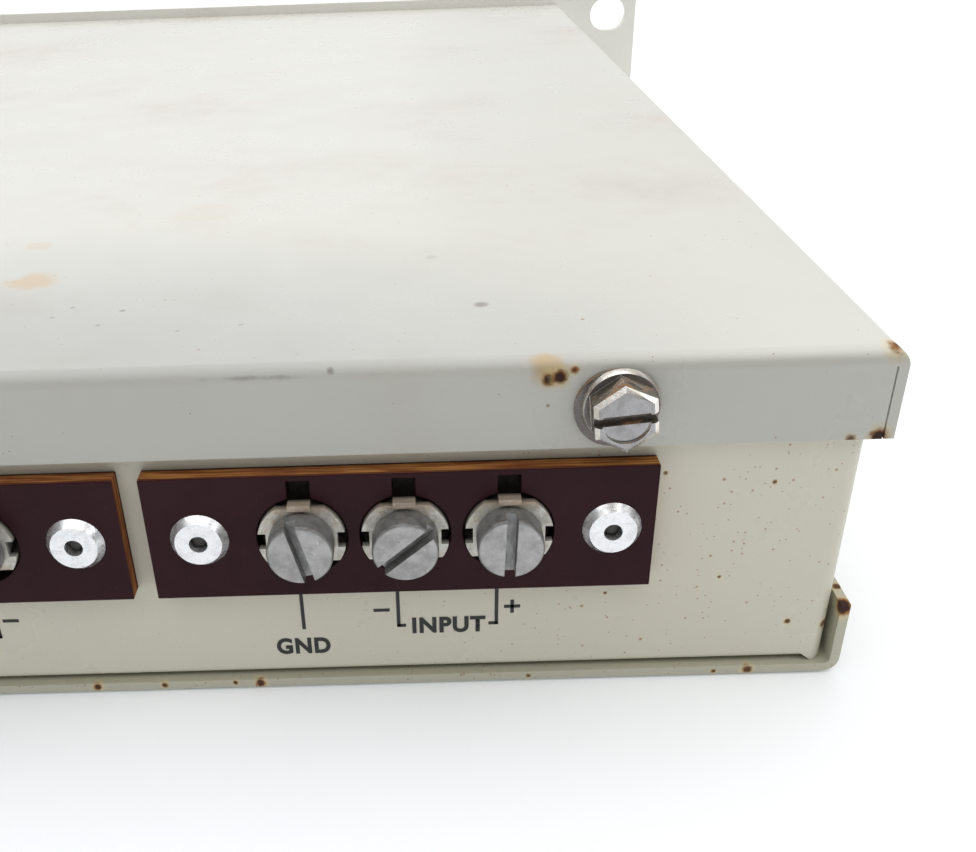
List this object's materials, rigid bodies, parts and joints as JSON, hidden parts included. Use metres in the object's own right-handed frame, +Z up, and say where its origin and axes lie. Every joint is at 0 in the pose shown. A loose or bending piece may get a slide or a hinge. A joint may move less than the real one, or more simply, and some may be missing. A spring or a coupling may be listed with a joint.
{
  "type": "rack effects unit",
  "caption": "One-unit 19 inch rack audio effects processor in cream painted steel, with phenolic screw-terminal boards, mains inlet and fuse behind, and knobs, push button and rocker in front.",
  "frame": {"origin": "middle of the bottom cover's underside, on which the unit rests", "axes": "+X along the rack width, +Y from the front panel to the rear wall, +Z up"},
  "size_m": [0.4826, 0.3077, 0.0439],
  "materials": {
    "cream_paint": "cream enamel, slightly rusted",
    "nickel_screw": "nickel plate with brown rust",
    "zinc_fastener": "zinc plate",
    "black_screw": "black oxide",
    "rivet_aluminium": "bright",
    "phenolic": "maroon phenolic laminate",
    "tinned_brass": "dirty tin plate",
    "terminal_steel": "dull nickel plate",
    "black_plastic": "moulded, satin",
    "pin_brass": "nickel-plated",
    "knob_cap_metal": "spun",
    "shaft_steel": "plain",
    "button_plastic": "moulded red",
    "lens": "red diffused",
    "fuse_glass": "clear tube with metal ends",
    "board_laminate": "green solder mask",
    "component_plastic": "moulded",
    "core_steel": "varnished laminations",
    "winding_tape": "tape over copper wire"
  },
  "bodies": {
    "chassis": {"chassis_wrap": "cream_paint", "front_subpanel": "cream_paint", "front_panel": "cream_paint", "lid": "cream_paint", "bottom_cover": "cream_paint", "lid_screws": "nickel_screw", "lid_washers": "nickel_screw", "cover_screws": "nickel_screw", "inlet_screws": "nickel_screw", "pot_nuts": "nickel_screw", "machine_nuts": "zinc_fastener", "board_screws": "zinc_fastener", "standoffs": "zinc_fastener", "transformer_bolts": "zinc_fastener", "panel_screws": "black_screw", "board_rivets": "rivet_aluminium", "case_rivets": "rivet_aluminium", "input_board": "phenolic", "output_board": "phenolic", "terminal_lugs": "tinned_brass", "inlet_housing": "black_plastic", "fuse_holder": "black_plastic", "fuse_nut": "black_plastic", "bypass_switch": "black_plastic", "rocker_housing": "black_plastic", "inlet_pins": "pin_brass", "led_bezels": "knob_cap_metal", "potentiometers": "shaft_steel", "led_lenses": "lens", "fuse": "fuse_glass", "circuit_board": "board_laminate", "filter_capacitors": "component_plastic", "ic_chips": "component_plastic", "resistors": "component_plastic", "transformer_core": "core_steel", "transformer_winding": "winding_tape"},
    "input_ground_clamp_body": {"input_ground_clamp": "tinned_brass"},
    "input_ground_screw_body": {"input_ground_screw": "terminal_steel"},
    "input_minus_clamp_body": {"input_minus_clamp": "tinned_brass"},
    "input_minus_screw_body": {"input_minus_screw": "terminal_steel"},
    "input_plus_clamp_body": {"input_plus_clamp": "tinned_brass"},
    "input_plus_screw_body": {"input_plus_screw": "terminal_steel"},
    "output_ground_clamp_body": {"output_ground_clamp": "tinned_brass"},
    "output_ground_screw_body": {"output_ground_screw": "terminal_steel"},
    "output_minus_clamp_body": {"output_minus_clamp": "tinned_brass"},
    "output_minus_screw_body": {"output_minus_screw": "terminal_steel"},
    "output_plus_clamp_body": {"output_plus_clamp": "tinned_brass"},
    "output_plus_screw_body": {"output_plus_screw": "terminal_steel"},
    "input_control": {"input_knob": "black_plastic", "input_knob_cap": "knob_cap_metal", "input_shaft": "shaft_steel"},
    "effect_control": {"effect_knob": "black_plastic", "effect_knob_cap": "knob_cap_metal", "effect_shaft": "shaft_steel"},
    "output_control": {"output_knob": "black_plastic", "output_knob_cap": "knob_cap_metal", "output_shaft": "shaft_steel"},
    "bypass_plunger": {"bypass_button": "button_plastic"},
    "power_lever": {"power_rocker": "black_plastic"},
    "fuse_carrier": {"fuse_cap": "black_plastic"}
  },
  "joints": [
    {"name": "input_ground_clamp_lift", "type": "slide", "parent": "chassis", "child": "input_ground_clamp_body", "axis": [0, 1, 0], "range_m": [0, 0.0025]},
    {"name": "input_ground_screw_turn", "type": "hinge", "parent": "input_ground_clamp_body", "child": "input_ground_screw_body", "pos_m": [-0.15494, 0.143, 0.022], "axis": [0, 1, 0], "range_deg": [0, 1140]},
    {"name": "input_minus_clamp_lift", "type": "slide", "parent": "chassis", "child": "input_minus_clamp_body", "axis": [0, 1, 0], "range_m": [0, 0.0025]},
    {"name": "input_minus_screw_turn", "type": "hinge", "parent": "input_minus_clamp_body", "child": "input_minus_screw_body", "pos_m": [-0.16605, 0.143, 0.022], "axis": [0, 1, 0], "range_deg": [0, 1140]},
    {"name": "input_plus_clamp_lift", "type": "slide", "parent": "chassis", "child": "input_plus_clamp_body", "axis": [0, 1, 0], "range_m": [0, 0.0025]},
    {"name": "input_plus_screw_turn", "type": "hinge", "parent": "input_plus_clamp_body", "child": "input_plus_screw_body", "pos_m": [-0.17716, 0.143, 0.022], "axis": [0, 1, 0], "range_deg": [0, 1140]},
    {"name": "output_ground_clamp_lift", "type": "slide", "parent": "chassis", "child": "output_ground_clamp_body", "axis": [0, 1, 0], "range_m": [0, 0.0025]},
    {"name": "output_ground_screw_turn", "type": "hinge", "parent": "output_ground_clamp_body", "child": "output_ground_screw_body", "pos_m": [-0.09709, 0.143, 0.022], "axis": [0, 1, 0], "range_deg": [0, 1140]},
    {"name": "output_minus_clamp_lift", "type": "slide", "parent": "chassis", "child": "output_minus_clamp_body", "axis": [0, 1, 0], "range_m": [0, 0.0025]},
    {"name": "output_minus_screw_turn", "type": "hinge", "parent": "output_minus_clamp_body", "child": "output_minus_screw_body", "pos_m": [-0.11931, 0.143, 0.022], "axis": [0, 1, 0], "range_deg": [0, 1140]},
    {"name": "output_plus_clamp_lift", "type": "slide", "parent": "chassis", "child": "output_plus_clamp_body", "axis": [0, 1, 0], "range_m": [0, 0.0025]},
    {"name": "output_plus_screw_turn", "type": "hinge", "parent": "output_plus_clamp_body", "child": "output_plus_screw_body", "pos_m": [-0.1082, 0.143, 0.022], "axis": [0, 1, 0], "range_deg": [0, 1140]},
    {"name": "input_knob_turn", "type": "hinge", "parent": "chassis", "child": "input_control", "pos_m": [-0.15, -0.15, 0.022], "axis": [0, 1, 0], "range_deg": [-150, 150]},
    {"name": "effect_knob_turn", "type": "hinge", "parent": "chassis", "child": "effect_control", "pos_m": [-0.085, -0.15, 0.022], "axis": [0, 1, 0], "range_deg": [-150, 150]},
    {"name": "output_knob_turn", "type": "hinge", "parent": "chassis", "child": "output_control", "pos_m": [-0.02, -0.15, 0.022], "axis": [0, 1, 0], "range_deg": [-150, 150]},
    {"name": "bypass_press", "type": "slide", "parent": "chassis", "child": "bypass_plunger", "axis": [0, 1, 0], "range_m": [0, 0.003], "stiffness_N_per_m": 400, "springref_m": -0.001},
    {"name": "power_tip", "type": "hinge", "parent": "chassis", "child": "power_lever", "pos_m": [0.165, -0.1415, 0.022], "axis": [-1, 0, 0], "range_deg": [0, 20]},
    {"name": "fuse_cap_turn", "type": "hinge", "parent": "chassis", "child": "fuse_carrier", "pos_m": [0.132, 0.145, 0.02], "axis": [0, 1, 0], "range_deg": [0, 90]}
  ],
  "couplings": [
    {"joint": "input_ground_screw_turn", "follows": "input_ground_clamp_lift", "rad_per_m": 7915.8},
    {"joint": "input_minus_screw_turn", "follows": "input_minus_clamp_lift", "rad_per_m": 7915.8},
    {"joint": "input_plus_screw_turn", "follows": "input_plus_clamp_lift", "rad_per_m": 7915.8},
    {"joint": "output_ground_screw_turn", "follows": "output_ground_clamp_lift", "rad_per_m": 7915.8},
    {"joint": "output_minus_screw_turn", "follows": "output_minus_clamp_lift", "rad_per_m": 7915.8},
    {"joint": "output_plus_screw_turn", "follows": "output_plus_clamp_lift", "rad_per_m": 7915.8}
  ]
}
